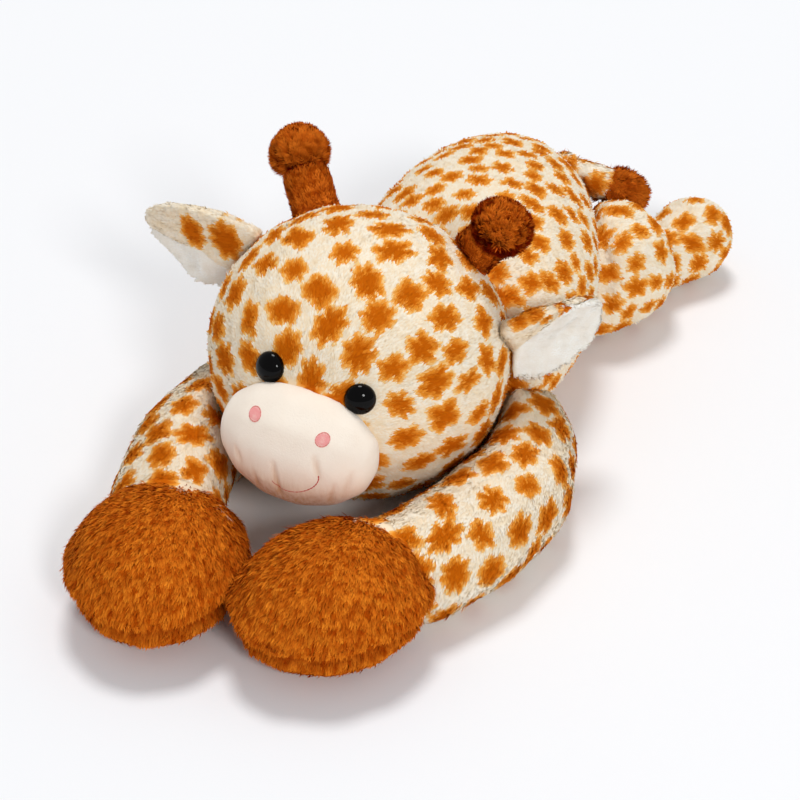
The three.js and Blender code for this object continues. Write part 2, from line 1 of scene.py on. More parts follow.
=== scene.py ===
# %% [markdown]
# # A plush giraffe
# The toy is a set of stuffed cloth forms that are sewn to each other: an egg for the body, a ball for the
# head, four bent legs, and small pieces for the face, ears, horns and tail. This lesson loads the rigid
# model, makes the soft form of each piece, grows the pile on it, and then lights and photographs the toy.

# %% Load the rigid model
import json
import math
import bpy
import numpy as np
from mathutils import Matrix, Vector
from mathutils.bvhtree import BVHTree


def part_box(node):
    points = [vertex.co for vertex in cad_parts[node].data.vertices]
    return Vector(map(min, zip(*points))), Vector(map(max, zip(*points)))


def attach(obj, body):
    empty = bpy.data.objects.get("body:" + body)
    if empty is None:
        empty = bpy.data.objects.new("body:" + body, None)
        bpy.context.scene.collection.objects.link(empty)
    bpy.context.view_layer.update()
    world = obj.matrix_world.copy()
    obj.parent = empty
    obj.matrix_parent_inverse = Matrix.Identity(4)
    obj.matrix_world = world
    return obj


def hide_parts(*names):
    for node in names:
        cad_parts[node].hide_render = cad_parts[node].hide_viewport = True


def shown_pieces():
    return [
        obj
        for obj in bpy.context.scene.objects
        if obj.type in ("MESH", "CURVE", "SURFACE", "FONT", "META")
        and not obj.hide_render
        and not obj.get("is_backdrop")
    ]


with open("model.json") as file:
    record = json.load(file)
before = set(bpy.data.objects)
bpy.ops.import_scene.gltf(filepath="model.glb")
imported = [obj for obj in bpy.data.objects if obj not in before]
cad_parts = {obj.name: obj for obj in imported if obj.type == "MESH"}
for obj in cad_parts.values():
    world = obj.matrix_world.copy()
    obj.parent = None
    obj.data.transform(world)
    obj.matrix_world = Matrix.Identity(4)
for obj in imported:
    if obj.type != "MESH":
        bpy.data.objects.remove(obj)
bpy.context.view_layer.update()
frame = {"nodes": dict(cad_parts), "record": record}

MM = 0.001
joints = {joint["name"]: joint for joint in frame["record"]["behaviour"]["joints"]}

# %% [markdown]
# ## Small helpers for modelling
# An operator acts on everything that is selected, so each piece is selected alone before it is shaped.
# A node of the rigid model is loose triangles, so its copy has its doubles merged before anything else.

# %% Select one piece, apply its modifiers, copy a rigid node
def only(piece):
    bpy.ops.object.select_all(action="DESELECT")
    piece.select_set(True)
    bpy.context.view_layer.objects.active = piece


def finish_modifier(piece, kind, **settings):
    only(piece)
    modifier = piece.modifiers.new(kind.title(), kind)
    for name, value in settings.items():
        setattr(modifier, name, value)
    bpy.ops.object.modifier_apply(modifier=modifier.name)


def in_edit_mode(piece, *steps):
    only(piece)
    bpy.ops.object.mode_set(mode="EDIT")
    bpy.ops.mesh.select_all(action="SELECT")
    for step in steps:
        step()
    bpy.ops.object.mode_set(mode="OBJECT")


def copy_of(node, name):
    piece = bpy.data.objects.new(name, frame["nodes"][node].data.copy())
    bpy.context.collection.objects.link(piece)
    piece.data.materials.clear()
    in_edit_mode(piece, lambda: bpy.ops.mesh.remove_doubles(threshold=0.01 * MM))
    return piece


def joined(name, *pieces):
    only(pieces[0])
    for piece in pieces:
        piece.select_set(True)
    bpy.ops.object.join()
    pieces[0].name = name
    return pieces[0]


def middle_of(node):
    low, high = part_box(node)
    return (low + high) / 2


def points_of(piece):
    flat = np.empty(len(piece.data.vertices) * 3)
    piece.data.vertices.foreach_get("co", flat)
    return flat.reshape(-1, 3)


def set_points(piece, points):
    piece.data.vertices.foreach_set("co", np.asarray(points, dtype=float).ravel())
    piece.data.update()


def normals_of(piece):
    flat = np.empty(len(piece.data.vertices) * 3)
    piece.data.vertex_normals.foreach_get("vector", flat)
    return flat.reshape(-1, 3)


def unit(vectors):
    return vectors / np.maximum(np.linalg.norm(vectors, axis=-1, keepdims=True), 1e-9)


# %% [markdown]
# ## Materials
# A wire is a socket that can be used in a Python sum, and each operator adds the Math node that it needs.
# A finish is a material with one method that adds any other node.

# %% Wires and finishes
class Wire:
    def __init__(self, finish, socket):
        self.finish = finish
        self.socket = socket

    def math(self, operation, first, second):
        return self.finish.node("ShaderNodeMath", {"operation": operation}, {0: first, 1: second})

    def __add__(self, other):
        return self.math("ADD", self, other)

    def __mul__(self, other):
        return self.math("MULTIPLY", self, other)

    __radd__ = __add__
    __rmul__ = __mul__


class Finish:
    def __init__(self, name, roughness, **constants):
        self.material = bpy.data.materials.new(name)
        self.material.use_nodes = True
        self.tree = self.material.node_tree
        self.shader = self.tree.nodes["Principled BSDF"]
        self.set(roughness=roughness, **constants)

    def node(self, kind, settings, sockets, output=0):
        node = self.tree.nodes.new(kind)
        for name, value in settings.items():
            setattr(node, name, value)
        for name, value in sockets.items():
            self.feed(node.inputs[name], value)
        return Wire(self, node.outputs[output])

    def feed(self, socket, value):
        if isinstance(value, Wire):
            self.tree.links.new(value.socket, socket)
        else:
            socket.default_value = value

    def set(self, **sockets):
        for name, value in sockets.items():
            self.feed(self.shader.inputs[name.replace("_", " ").title().replace("Ior", "IOR")], value)

    def attribute(self, name):
        return self.node("ShaderNodeAttribute", {"attribute_name": name}, {}, output=2)

    def mix(self, factor, first, second):
        settings = {"data_type": "RGBA", "clamp_factor": True}
        return self.node("ShaderNodeMix", settings, {0: factor, 6: first, 7: second}, output=2)

    def noise(self, scale, detail=3.0, roughness=0.6, place=None):
        place = place or self.node("ShaderNodeTexCoord", {}, {}, output=3)
        sockets = {"Vector": place, "Scale": scale, "Detail": detail, "Roughness": roughness}
        return self.node("ShaderNodeTexNoise", {}, sockets)

    def ramp(self, value, stops):
        wire = self.node("ShaderNodeValToRGB", {}, {0: value})
        elements = wire.socket.node.color_ramp.elements
        while len(elements) < len(stops):
            elements.new(1.0)
        for element, (place, colour) in zip(elements, stops):
            element.position = place
            element.color = colour
        return wire

    def bump(self, height, distance, strength=1.0):
        sockets = {"Height": height, "Distance": distance, "Strength": strength}
        self.set(normal=self.node("ShaderNodeBump", {}, sockets))

    def put_on(self, piece):
        piece.data.materials.clear()
        piece.data.materials.append(self.material)


def srgb(red, green, blue):
    def linear(value):
        share = value / 255
        return share / 12.92 if share <= 0.04045 else ((share + 0.055) / 1.055) ** 2.4

    return (linear(red), linear(green), linear(blue), 1.0)


# %% [markdown]
# ## The colours of the cloth
# The pile is printed, so a spot is darkest at its middle and turns lighter towards its ragged edge. The
# attribute "spot" holds how deep a strand stands in a spot, "tone" is its own small change of colour, and
# "reach" runs from its root to its tip. A root is a little darker, because less light falls between strands.

# %% Finishes of the pile
def pile_finish(name, stops, root_shade, tone_share):
    finish = Finish(name, 0.9, specular_ior_level=0.03)

    def multiply(first, second):
        settings = {"data_type": "RGBA", "blend_type": "MULTIPLY"}
        return finish.node("ShaderNodeMix", settings, {0: 1.0, 6: first, 7: second}, output=2)

    printed = finish.ramp(finish.attribute("spot"), stops)
    tone = finish.attribute("tone")
    shade = finish.ramp(finish.attribute("reach"), [(0.0, root_shade), (0.8, (1, 1, 1, 1))])
    lit = multiply(printed, shade)
    darker = multiply(lit, tone_share)
    finish.set(base_color=finish.mix(tone, darker, lit))
    return finish


cream = srgb(255, 247, 231)
spotted_stops = [(0.0, cream), (0.01, cream), (0.05, srgb(254, 220, 156)), (0.16, srgb(252, 192, 104)),
                 (0.4, srgb(242, 156, 50)), (0.95, srgb(208, 106, 10))]
spotted_pile = pile_finish("spotted_pile", spotted_stops, srgb(252, 238, 217), srgb(250, 242, 228))
brown_pile = pile_finish("brown_pile", [(0.0, srgb(250, 148, 40)), (1.0, srgb(196, 88, 6))],
                         srgb(186, 132, 96), srgb(228, 204, 180))
horn_pile = pile_finish("horn_pile", [(0.0, srgb(236, 128, 36)), (1.0, srgb(186, 84, 8))],
                        srgb(186, 140, 104), srgb(226, 202, 178))
lining_pile = pile_finish("lining_pile", [(0.0, srgb(255, 254, 249)), (1.0, srgb(248, 243, 234))],
                          srgb(250, 247, 242), srgb(250, 248, 244))
print("made", len(bpy.data.materials), "materials")

# %% [markdown]
# ## Stuffed forms
# A stuffed piece is a closed bag that its filling pushes outwards. Each form starts from a copy of its
# filling. It is remeshed to small even faces, smoothed, drawn in a little, and then blown up as cloth.

# %% Stuff a form
PRESSURE, FRAMES = 4, 20


def swell(piece, cap):
    """Blows the piece up as cloth, and lets no point move further than cap."""
    start = points_of(piece)
    modifier = piece.modifiers.new("Cloth", "CLOTH")
    cloth = modifier.settings
    cloth.use_pressure = True
    cloth.uniform_pressure_force = PRESSURE
    cloth.effector_weights.gravity = 0
    modifier.point_cache.frame_start = 1
    modifier.point_cache.frame_end = FRAMES
    for number in range(1, FRAMES + 1):
        bpy.context.scene.frame_set(number)
    blown = piece.evaluated_get(bpy.context.evaluated_depsgraph_get())
    flat = np.empty(len(blown.data.vertices) * 3)
    blown.data.vertices.foreach_get("co", flat)
    piece.modifiers.remove(modifier)
    moved = flat.reshape(-1, 3) - start
    far = np.linalg.norm(moved, axis=1, keepdims=True)
    set_points(piece, start + moved * np.minimum(1, cap / np.maximum(far, 1e-9)))


def stuffed(piece, voxel, inward, cap, smoothing=10):
    """Remeshes, smooths, draws in and swells a form."""
    finish_modifier(piece, "REMESH", mode="VOXEL", voxel_size=voxel, use_smooth_shade=True)
    finish_modifier(piece, "SMOOTH", factor=0.5, iterations=smoothing)
    in_edit_mode(piece, lambda: bpy.ops.transform.shrink_fatten(value=-inward))
    swell(piece, cap)
    finish_modifier(piece, "SUBSURF", levels=1, render_levels=1)
    only(piece)
    bpy.ops.object.shade_smooth()
    return piece


# %% [markdown]
# ## Printed spots
# The print has rounded spots with a few lobes. Their middles start as seeded places that keep apart. Each is
# then moved a few times to the middle of the cloth that is nearest to it, which spaces them evenly. The few
# spots on the front of an ear are listed one by one instead.

# %% Spread the spots and measure how deep a point lies in one
PLACES_TRIED, SPACING_ROUNDS, LEAST_APART = 6000, 8, 0.8
TURN_SPREAD = 0.6
WAVE_SIZES = ([0.12, 0.04, 0.0, 0.0], [0.26, 0.12, 0.1, 0.03])
FACING_BACK = -0.8
MEAN_ONE = 1.57
FAR_SIDE, FAR_FADE = 0.5, 6
SPOT_FADE = 7 * MM
LARGE_PRINT = {"apart": 25.5 * MM, "radius": (9.4 * MM, 12.4 * MM), "stretch": (1.0, 1.6)}
SMALL_PRINT = {"apart": 20.5 * MM, "radius": (8.0 * MM, 10.3 * MM), "stretch": (1.0, 1.5)}


def even_places(piece, count, rng):
    """Points spread evenly over the piece's faces, with the smooth normal at each."""
    mesh = piece.data
    mesh.calc_loop_triangles()
    corners = np.empty(len(mesh.loop_triangles) * 3, dtype=np.int32)
    mesh.loop_triangles.foreach_get("vertices", corners)
    corners = corners.reshape(-1, 3)
    places, normals = points_of(piece), normals_of(piece)
    a, b, c = (places[corners[:, k]] for k in range(3))
    areas = np.linalg.norm(np.cross(b - a, c - a), axis=1) / 2
    total = np.cumsum(areas)
    steps = (np.arange(count) + rng.random(count)) / count * total[-1]
    face = np.minimum(np.searchsorted(total, steps), len(areas) - 1)
    root, share = np.sqrt(rng.random(count)), rng.random(count)
    weights = np.stack([1 - root, root * (1 - share), root * share], axis=1)
    spots = np.einsum("nk,nkd->nd", weights, places[corners[face]])
    return spots, unit(np.einsum("nk,nkd->nd", weights, normals[corners[face]])), total[-1]


class Print:
    """The spots of one piece: where each lies, and its outline as a few waves around its middle.

    On an ear, front is the way that it faces, and seeded spots stay on its back. chosen lists the spots on
    its front, each as its place, radius and stretch.
    """

    def __init__(self, piece, seed, comb, apart, radius, stretch, front=None, chosen=()):
        rng = np.random.default_rng(seed)
        places, normals, _ = even_places(piece, PLACES_TRIED, rng)
        kept = []
        for index in rng.permutation(len(places)):
            if not kept or np.linalg.norm(places[kept] - places[index], axis=1).min() > LEAST_APART * apart:
                kept.append(index)
        for _ in range(SPACING_ROUNDS):
            owner = np.linalg.norm(places[:, None] - places[kept][None], axis=2).argmin(axis=1)
            middles = [places[owner == number].mean(axis=0) for number in range(len(kept))]
            kept = [np.linalg.norm(places - middle, axis=1).argmin() for middle in middles]
        if front is not None:
            kept = [index for index in kept if normals[index] @ np.array(front) < FACING_BACK]
            kept += [np.linalg.norm(places - np.array(own[0]), axis=1).argmin() for own in chosen]
        self.middles, self.normals = places[kept], normals[kept]
        count = len(kept)
        first_chosen = count - len(chosen)
        if len(chosen):
            self.normals[first_chosen:] = front
        way = comb(self.middles, self.normals)
        way = unit(way - self.normals * (way * self.normals).sum(axis=1, keepdims=True))
        turn = rng.normal(0, TURN_SPREAD, count)[:, None]
        turn[first_chosen:] = 0
        self.along = way * np.cos(turn) + np.cross(self.normals, way) * np.sin(turn)
        self.across = np.cross(self.normals, self.along)
        self.radius = rng.uniform(*radius, count)
        self.radius[first_chosen:] = [own[1] for own in chosen]
        self.stretch = np.sqrt(rng.uniform(*stretch, count))
        self.stretch[first_chosen:] = [own[2] for own in chosen]
        self.lobes = rng.integers(4, 8, count)
        self.waves = rng.uniform(*WAVE_SIZES, (count, 4))
        self.waves[first_chosen:] *= 0.5
        self.phases = rng.random((count, 4)) * 2 * np.pi

    def depth(self, points):
        """How deep each point lies in a spot, from below 0 outside to 1 well inside."""
        best = np.full(len(points), -1.0)
        for k in range(len(self.middles)):
            away = points - self.middles[k]
            near = np.nonzero((away ** 2).sum(axis=1) < (2 * self.radius[k]) ** 2)[0]
            x = away[near] @ self.across[k] * self.stretch[k]
            y = away[near] @ self.along[k] / self.stretch[k]
            angle = np.arctan2(y, x)
            # A wave of |cos| gives round lobes with notches between them, and MEAN_ONE brings its mean to
            # 1. The four waves are the lobes, smaller lobes, a waist and the ragged edge.
            edge = 1 + sum(
                self.waves[k, i] * (MEAN_ONE * np.abs(np.cos(n / 2 * angle + self.phases[k, i])) - 1)
                for i, n in enumerate((self.lobes[k], self.lobes[k] + 3, 2, 13))
            )
            depth = (self.radius[k] * edge - np.hypot(x, y)) / SPOT_FADE
            # A spot fades out below its own side, so it doesn't print through a thin piece.
            below = -(away[near] @ self.normals[k]) / self.radius[k]
            depth -= FAR_FADE * np.clip(below - FAR_SIDE, 0, 1)
            best[near] = np.maximum(best[near], depth)
        return best


def add_values(piece, name, values):
    attribute = piece.data.attributes.new(name, "FLOAT", "POINT")
    attribute.data.foreach_set("value", np.asarray(values, dtype=np.float32))


# %% [markdown]
# ## The pile
# Each strand stands for a lock of fibres: a leaf of two triangles, bent across its widest place, whose flat
# side faces outwards, so that the locks lie over each other as combed pile does. Waves of noise draw the
# points of neighbouring locks together into clumps. There are tens of thousands of them, so numpy makes them
# at once. Each lock also gets a cell of its own on a map that can hold its colours.

# %% Waves of noise
WAVES = 14


def random_waves(wavelength, rng):
    """The ways of a few waves whose lengths lie around the one given."""
    return unit(rng.normal(size=(WAVES, 3))) * (2 * np.pi / (wavelength * rng.uniform(0.7, 1.4, (WAVES, 1))))


def wave_pull(points, wavelength, rng):
    """The slope of a smooth noise, which draws the points of locks together along its ridges."""
    ways = random_waves(wavelength, rng)
    phases = rng.random(WAVES) * 2 * np.pi
    slopes = np.cos(points @ ways.T + phases) @ ways
    return slopes * wavelength / (2 * np.pi) / math.sqrt(WAVES / 2)


def smooth_noise(points, wavelength, rng):
    ways = random_waves(wavelength, rng)
    return np.sin(points @ ways.T + rng.random(WAVES) * 2 * np.pi).sum(axis=1) / math.sqrt(WAVES / 2)


def map_cells(roots):
    """The middle of a cell in a square grid for each lock. Neighbours on the piece stay near each other."""
    across = math.ceil(math.sqrt(len(roots)))
    row = np.empty(len(roots), dtype=int)
    row[np.argsort(roots[:, 2])] = np.arange(len(roots)) // across
    x, y = (roots[:, :2] - roots[:, :2].mean(axis=0)).T
    cell = np.empty(len(roots), dtype=int)
    cell[np.lexsort((np.arctan2(y, x), row))] = np.arange(len(roots))
    return (np.stack([cell % across, cell // across], axis=1) + 0.5) / across, 1 / across


# %% Place the roots, and make the mesh of the locks
ABOVE_FLOOR = 1.5 * MM
UNDERSIDE, UNDERSIDE_BARE = -0.6, 0.5
LOCK_FACES = np.array([[0, 1, 2], [1, 3, 2]])
LOCK_CELL = np.array([[0, -0.42], [-0.42, 0], [0.42, 0], [0, 0.42]])


def roots_on(base, count, rng, hidden, clear):
    """Spreads roots over a form, but not at the floor, in a neighbour or around a clear point.

    The underside, which nobody sees, keeps only half of its roots.
    """
    roots, normals, area = even_places(base, count, rng)
    keep = roots[:, 2] > ABOVE_FLOOR
    keep &= ~((normals[:, 2] < UNDERSIDE) & (rng.random(count) < UNDERSIDE_BARE))
    for tree, gap in hidden:
        keep &= ~lies_in(tree, roots, gap)
    for point, radius in clear:
        keep &= np.linalg.norm(roots - np.array(point), axis=1) > radius
    return roots[keep], normals[keep], area


def mesh_of_locks(name, locks, roots):
    """One mesh of all the locks, with two triangles and a cell of the map for each."""
    corners = (LOCK_FACES[None] + 4 * np.arange(len(locks))[:, None, None]).reshape(-1, 3)
    mesh = bpy.data.meshes.new(name)
    mesh.from_pydata(locks.reshape(-1, 3), [], corners)
    mesh.polygons.foreach_set("use_smooth", np.ones(len(mesh.polygons), dtype=bool))
    cells, size = map_cells(roots)
    in_cell = LOCK_CELL[LOCK_FACES.ravel()] * size
    layer = mesh.uv_layers.new(name="OFBake")
    layer.uv.foreach_set("vector", (cells[:, None] + in_cell[None]).astype(np.float32).ravel())
    return mesh


def spot_of_locks(spots, roots, way, lengths, clump_size, rng):
    """How deep each lock stands in a spot. It takes its colour from a place a little along its way."""
    if spots is None:
        return np.clip(0.45 + 0.3 * smooth_noise(roots, clump_size, rng), 0, 1)
    shift = 0.35 * lengths + 0.5 * MM * smooth_noise(roots, 4 * MM, rng)
    depth = spots.depth(roots + way * shift[:, None] + rng.normal(0, 0.25 * MM, (len(roots), 3)))
    uneven = np.clip(depth + rng.normal(0, 0.1, len(roots)), 0.1, 1)
    return np.where(depth > 0.1, uneven, np.clip(depth, 0, 1))


# %% Grow a pile
ROOT_SUNK, REST_HEIGHT = 0.25 * MM, 0.2 * MM
LENGTH_RANGE, WIDTH_RANGE = (0.75, 1.2), (0.7, 1.3)
WAY_SPREAD, ANGLE_SPREAD, TWIST_SPREAD, NORMAL_SPREAD = 0.14, 6, 0.3, 0.03
LOOSE_SHARE, LOOSE_LIFT = 0.025, 22
LOCK_LEANS = np.array([0, -0.12, 0.12, 0])
LOCK_REACH = [0.0, 0.55, 0.55, 1.0]


def grow_pile(name, base, comb, seed, count, length, width, stand=(19, 0), clump=0.14, clump_size=10 * MM,
              relief=0.1, spots=None, hidden=(), clear=(), trim=None):
    """Grows the locks of one piece.

    stand is the rise of the lower and of the upper half of a lock, in degrees. hidden lists the forms that
    the piece lies against, each with a gap, and clear lists points with a radius. Nothing grows there. trim
    gives the share of its length that a lock keeps. A few locks are loose and stand up more than the others.
    """
    rng = np.random.default_rng(seed)
    roots, normals, area = roots_on(base, count, rng, hidden, clear)
    count = len(roots)
    pull = wave_pull(roots, clump_size, rng)
    way = comb(roots, normals) + clump * pull + rng.normal(0, WAY_SPREAD, (count, 3))
    way = unit(way - normals * (way * normals).sum(axis=1, keepdims=True))
    lengths = length * rng.uniform(*LENGTH_RANGE, count) * (1 + 0.1 * smooth_noise(roots, 30 * MM, rng))
    shortened = np.ones(count) if trim is None else trim(roots)
    lengths = lengths * shortened
    loose = np.where(rng.random(count) < LOOSE_SHARE, LOOSE_LIFT, 0)
    rise = np.radians(rng.normal(stand[0], ANGLE_SPREAD, count) + loose)
    bend = np.radians(rng.normal(stand[1], ANGLE_SPREAD, count) + loose)
    twist = rng.normal(0, TWIST_SPREAD, count)[:, None]
    side = unit(np.cross(normals, way) * np.cos(twist) + normals * np.sin(twist))

    def step(angle):
        return (normals * np.sin(angle)[:, None] + way * np.cos(angle)[:, None]) * (lengths / 2)[:, None]

    wide = side * (width * rng.uniform(*WIDTH_RANGE, count) / 2)[:, None]
    foot = roots - normals * ROOT_SUNK
    knee = foot + step(rise)
    tip = knee + step(bend)
    locks = np.stack([foot, knee - wide, knee + wide, tip], axis=1)
    locks[..., 2] = np.maximum(locks[..., 2], REST_HEIGHT)
    mesh = mesh_of_locks(name, locks, roots)
    piece = bpy.data.objects.new(name, mesh)
    bpy.context.collection.objects.link(piece)
    outwards = (normals - relief * pull)[:, None] + LOCK_LEANS[None, :, None] * side[:, None]
    outwards = outwards + NORMAL_SPREAD * rng.normal(size=(count, 1, 3))
    mesh.normals_split_custom_set_from_vertices(unit(outwards).reshape(-1, 3))
    depth = spot_of_locks(spots, roots, way, lengths, clump_size, rng)
    add_values(piece, "spot", np.repeat(depth, 4))
    tone = 0.5 + 0.25 * smooth_noise(roots, 9 * MM, rng) + rng.normal(0, 0.2, count)
    add_values(piece, "tone", np.repeat(np.clip(tone, 0, 1), 4))
    # A lock cut short keeps the painted root shade along its whole length, so the seam of a hoof is painted
    # darker.
    add_values(piece, "reach", np.outer(shortened, LOCK_REACH).ravel())
    print(name, count, "locks,", round(count / area * 1e-6, 2), "a square millimetre")
    return piece


class Tree:
    """A closed form that can be asked what lies in it."""

    def __init__(self, piece):
        self.faces = BVHTree.FromObject(piece, bpy.context.evaluated_depsgraph_get())
        points = points_of(piece)
        self.low, self.high = points.min(axis=0), points.max(axis=0)

    def holds(self, point):
        """True if a ray straight up leaves the form once more than it enters it."""
        crossings = 0
        start = point
        while True:
            place, _, _, _ = self.faces.ray_cast(start, Vector((0, 0, 1)))
            if place is None:
                return crossings % 2 == 1
            crossings += 1
            start = place + Vector((0, 0, 0.01 * MM))


def lies_in(tree, points, gap):
    """Which points lie inside the closed form of the tree, or closer to it than gap."""
    found = np.zeros(len(points), dtype=bool)
    near = ((points > tree.low - gap) & (points < tree.high + gap)).all(axis=1)
    for index in np.nonzero(near)[0]:
        point = Vector(points[index])
        found[index] = tree.faces.find_nearest(point)[3] < gap or tree.holds(point)
    return found


CLOTH_SHADE = 0.35


def dress(base, spots):
    """The cloth under the pile takes the same print, and is as dark as the lower part of a lock."""
    points = points_of(base)
    depth = np.clip(spots.depth(points), 0, 1) if spots is not None else np.full(len(points), 0.5)
    add_values(base, "spot", depth)
    add_values(base, "tone", np.full(len(points), 0.5))
    add_values(base, "reach", np.full(len(points), CLOTH_SHADE))


# %% [markdown]
# ## The torso, the head and the legs
# All forms are made before any pile, because a pile is left out where its piece lies against a neighbour. A
# front leg's cover ends inside its hoof.

# %% Stuff the torso, head and legs
VOXEL = 5 * MM
SLEEVE_CUT = 25 * MM
forms = {}
fillings = {
    "torso": "torso_stuffing",
    "left_front_leg": "left_front_stuffing",
    "right_front_leg": "right_front_stuffing",
    "left_hind_leg": "left_hind_stuffing",
    "right_hind_leg": "right_hind_stuffing",
}
for body, node in fillings.items():
    form = copy_of(node, body + "_cover")
    if body.endswith("front_leg"):
        low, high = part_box(body.replace("leg", "hoof_sole"))
        cut = (low + high) / 2 + Vector((0, SLEEVE_CUT, 0))
        in_edit_mode(form, lambda: bpy.ops.mesh.bisect(plane_co=cut, plane_no=(0, -1, 0),
                                                       clear_outer=True, use_fill=True))
    forms[body] = stuffed(form, VOXEL, -2 * MM, 2 * MM)
forms["head"] = copy_of("head_skin", "head_cover")
in_edit_mode(forms["head"], lambda: bpy.ops.mesh.convex_hull())
stuffed(forms["head"], VOXEL, 1.5 * MM, 2 * MM, smoothing=12)
print("stuffed", ", ".join(forms))

# %% [markdown]
# The hooves, the muzzle and the small round pieces start from the hull of their rigid shells, because a
# shell is hollow and its hull is the full form.

# %% Shape a small piece
def hull_of(name, *nodes):
    piece = joined(name, *(copy_of(node, name) for node in nodes))
    in_edit_mode(piece, lambda: bpy.ops.mesh.convex_hull())
    return piece


def softened(piece, voxel, inward, smoothing):
    """A small form that is too stiff to swell: remeshed, smoothed and drawn in."""
    finish_modifier(piece, "REMESH", mode="VOXEL", voxel_size=voxel, use_smooth_shade=True)
    finish_modifier(piece, "SMOOTH", factor=0.5, iterations=smoothing)
    in_edit_mode(piece, lambda: bpy.ops.transform.shrink_fatten(value=-inward))
    only(piece)
    bpy.ops.object.shade_smooth()
    return piece


def without_crumbs(piece):
    """Keeps the largest part of a piece, and drops the crumbs that a cut and a remesh leave."""
    name = piece.name
    in_edit_mode(piece, lambda: bpy.ops.mesh.separate(type="LOOSE"))
    parts = sorted(bpy.context.selected_objects, key=lambda part: len(part.data.vertices))
    for crumb in parts[:-1]:
        bpy.data.objects.remove(crumb)
    parts[-1].name = name
    return parts[-1]


# %% [markdown]
# The top and the sole of a hoof are sewn together, and the thread draws the cloth in along the seam. Above
# it the filling bulges out like a lip, and the pile is cut short on both sides of the seam. A cut lock keeps
# the painted shade of a root along its whole length, so the seam is painted darker.

# %% The seam of a hoof
HOOF_SEAM, SEAM_DEPTH, SEAM_REACH = 31 * MM, 10 * MM, 4.5 * MM
LIP_RISE, LIP_OVER = 4 * MM, 10 * MM


def draw_in_seam(hoof):
    """Draws the cover in along the seam of the hoof, and lets its top bulge over it like a lip."""
    points, normals = points_of(hoof), normals_of(hoof)
    level = normals * [1, 1, 0]
    over = points[:, 2] - HOOF_SEAM
    depth = SEAM_DEPTH * np.exp(-(over / SEAM_REACH) ** 2)
    depth -= LIP_RISE * np.exp(-((over - LIP_OVER) / (0.6 * LIP_OVER)) ** 2)
    set_points(hoof, points - level * depth[:, None])


def short_at_seam(roots):
    """The share of its length that a lock keeps: least at the seam, and more away from it."""
    over = roots[:, 2] - HOOF_SEAM
    on_top = np.clip(0.15 + over / (8 * MM), 0.15, 1)
    on_sole = np.clip(0.3 - over / (10 * MM), 0.3, 0.9)
    return np.where(over > 0, on_top, on_sole)


# %% [markdown]
# The plush of an ear's back folds over one edge of its lining, and the lower edge of the right ear is
# trimmed. Such a line is a point, in millimetres along and across the ear, and the way that lies beyond it.
# A spot on the front of an ear is a place along and across it, a radius and a stretch.

# %% Shape an ear
SIDES = {"left": 1, "right": -1}
EAR_FOLDS = {"left": ((20, 16), (-0.69, 0.72)), "right": ((48, -3.5), (-0.27, 0.96))}
EAR_TRIMS = {"right": ((52, -24), (0.57, -0.82))}
EAR_SPOTS = {"left": [(-8, 31, 8, 1), (3, 32, 7.5, 1.1), (15, 18, 6, 1), (32, 33, 7.5, 1)],
             "right": [(35, 12, 13, 0.8), (10, 11, 15, 0.85)]}
FOLD_RISE = 0.6 * MM
ear_fronts, ear_spots = {}, {}


def stuff_ear(side):
    """Shapes the back of an ear, with the edge that folds over the lining, and then the lining itself."""
    joint = joints[side + "_ear_flap"]
    root, across = Vector(joint["pos_m"]), SIDES[side] * Vector(joint["axis"])
    low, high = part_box(side + "_ear_back")
    along = (low + high) / 2 - root
    along = (along - across * along.dot(across)).normalized()
    hollow = along.cross(across) * SIDES[side]

    def on_ear(pair):
        return along * pair[0] + across * pair[1]

    ear_fronts[side] = hollow
    ear_spots[side] = [(root + (on_ear(place) + hollow * 4) * MM, radius * MM, stretch)
                       for *place, radius, stretch in EAR_SPOTS[side]]
    fold_place, fold_way = EAR_FOLDS[side]
    fold = root + on_ear(fold_place) * MM
    front = copy_of(side + "_ear_lining", side + "_ear_front")
    in_edit_mode(front, lambda: bpy.ops.mesh.bisect(plane_co=fold, plane_no=on_ear(fold_way),
                                                    clear_inner=True, use_fill=True))
    in_edit_mode(front, lambda: bpy.ops.transform.shrink_fatten(value=2 * MM))
    back = joined(side + "_ear_back_cover", copy_of(side + "_ear_back", side), front)
    lining = copy_of(side + "_ear_lining", side + "_ear_lining_cover")
    if side in EAR_TRIMS:
        edge_place, edge_way = EAR_TRIMS[side]
        edge = root + on_ear(edge_place) * MM
        for piece in (back, lining):
            in_edit_mode(piece, lambda: bpy.ops.mesh.bisect(plane_co=edge, plane_no=on_ear(edge_way),
                                                            clear_outer=True, use_fill=True))
    forms[side + "_ear_back"] = without_crumbs(softened(back, 1.5 * MM, -1 * MM, 18))
    forms[side + "_ear_lining"] = lining = without_crumbs(softened(lining, 1.5 * MM, -1.3 * MM, 18))
    points = points_of(lining)
    folds = smooth_noise(points, 30 * MM, np.random.default_rng(5))
    set_points(lining, points + normals_of(lining) * FOLD_RISE * folds[:, None])


# %% Stuff the hooves, the horns, the ears, the muzzle and the tail
TUFT_SWELL, TUFT_SHIFT = (1.4, 1, 1.1), (-4 * MM, 0, -3 * MM)
for side in SIDES:
    hoof = hull_of(side + "_hoof_cover", side + "_front_hoof_top", side + "_front_hoof_sole")
    forms[side + "_hoof"] = stuffed(hoof, VOXEL, 2 * MM, 2 * MM)
    draw_in_seam(forms[side + "_hoof"])
    knob = hull_of(side + "_knob_cover", side + "_horn_knob")
    forms[side + "_knob"] = softened(knob, 2 * MM, 3 * MM, 6)
    stem = copy_of(side + "_horn_stem", side + "_stem_cover")
    forms[side + "_stem"] = softened(stem, 2 * MM, -1 * MM, 5)
    stuff_ear(side)
muzzle = hull_of("muzzle_cover", "muzzle_skin")
forms["muzzle"] = stuffed(muzzle, 2.6 * MM, -0.8 * MM, 1.2 * MM, smoothing=16)
forms["tail"] = softened(copy_of("tail_strip", "tail_strip_cover"), 2 * MM, 1.5 * MM, 5)
